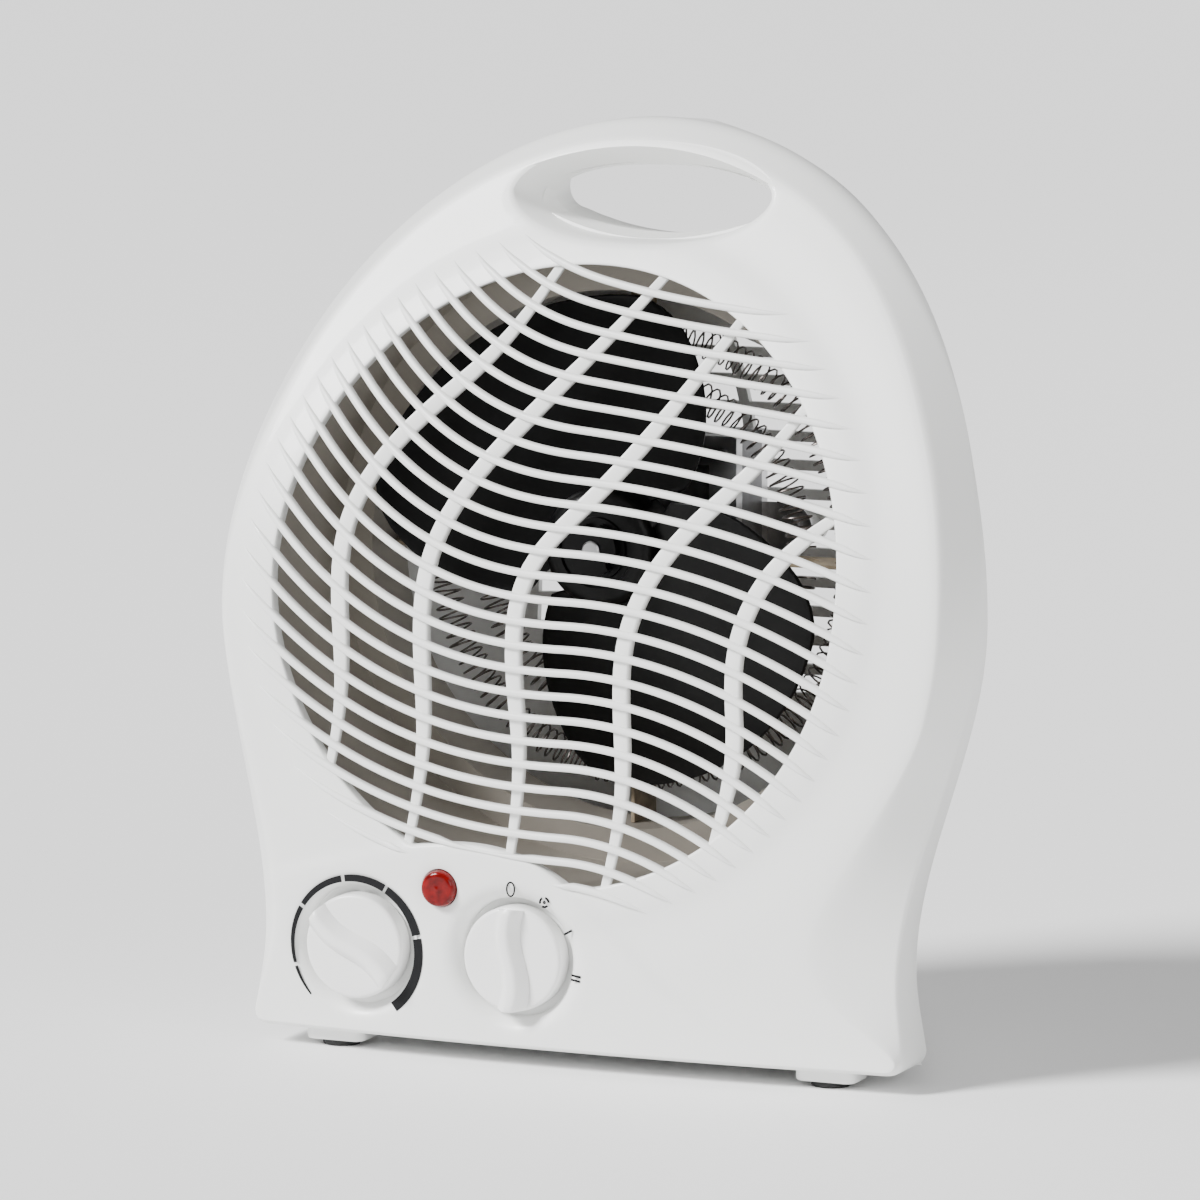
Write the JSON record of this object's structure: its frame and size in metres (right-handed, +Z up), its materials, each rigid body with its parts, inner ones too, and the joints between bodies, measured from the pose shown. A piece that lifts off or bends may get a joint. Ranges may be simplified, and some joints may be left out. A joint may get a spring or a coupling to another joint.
{
  "type": "fan convector heater",
  "caption": "Upright electric fan heater with a moulded egg-shaped housing, handle window, round ribbed grille, thermostat and selector knobs.",
  "frame": {"origin": "middle of the bounding box on the surface that the rubber pads stand on", "axes": "+X to the right seen from the front, +Y from the front to the back, +Z up"},
  "size_m": [0.217, 0.1151, 0.2467],
  "materials": {
    "housing_white": "fine moulded off-white plastic, satin",
    "knob_white": "smooth moulded white plastic",
    "duct_taupe": "taupe coated sheet steel",
    "fan_black": "glossy black moulded plastic",
    "mica": "mottled pressed mica board",
    "heater_wire": "oxidised resistance wire",
    "steel": "zinc plated steel",
    "core_steel": "stacked laminations",
    "copper_winding": "varnished winding under tape",
    "bronze": "sintered bronze",
    "control_body": "cream moulded thermoset",
    "indicator_red": "translucent red lens",
    "lamp_glass": "small neon lamp",
    "rubber": "matt black rubber",
    "grey_plastic": "grey nylon",
    "white_plastic": "natural nylon"
  },
  "bodies": {
    "housing": {"front_shell": "housing_white", "rear_shell": "housing_white", "air_duct": "duct_taupe", "mica_board_1": "mica", "mica_board_2": "mica", "mica_board_3": "mica", "mica_board_4": "mica", "inner_heating_coil": "heater_wire", "outer_heating_coil": "heater_wire", "thermal_cutout": "steel", "thermal_fuse": "steel", "motor_core": "core_steel", "motor_winding": "copper_winding", "motor_front_bracket": "steel", "motor_rear_bracket": "steel", "motor_front_bush": "bronze", "motor_rear_bush": "bronze", "motor_screws": "steel", "motor_mount": "steel", "mount_screws": "steel", "housing_screws": "steel", "thermostat_body": "control_body", "selector_switch_body": "control_body", "indicator_lens": "indicator_red", "indicator_lamp": "lamp_glass", "front_left_pad": "rubber", "front_right_pad": "rubber", "back_left_pad": "rubber", "back_right_pad": "rubber", "cord_inlet_bush": "grey_plastic", "terminal_block": "white_plastic"},
    "fan": {"fan_impeller": "fan_black", "fan_clip": "fan_black", "motor_shaft": "steel", "motor_rotor": "core_steel"},
    "thermostat_dial": {"thermostat_knob": "knob_white", "thermostat_spindle": "grey_plastic"},
    "selector_dial": {"selector_knob": "knob_white", "selector_spindle": "grey_plastic"}
  },
  "joints": [
    {"name": "fan_spin", "type": "hinge", "parent": "housing", "child": "fan", "pos_m": [-0.0065, 0, 0.134], "axis": [0, 1, 0], "continuous": true},
    {"name": "thermostat_turn", "type": "hinge", "parent": "housing", "child": "thermostat_dial", "pos_m": [-0.06, -0.0483, 0.0295], "axis": [0, 1, 0], "range_deg": [-78, 194]},
    {"name": "selector_turn", "type": "hinge", "parent": "housing", "child": "selector_dial", "pos_m": [-0.014, -0.0483, 0.0295], "axis": [0, 1, 0], "range_deg": [0, 100]}
  ]
}
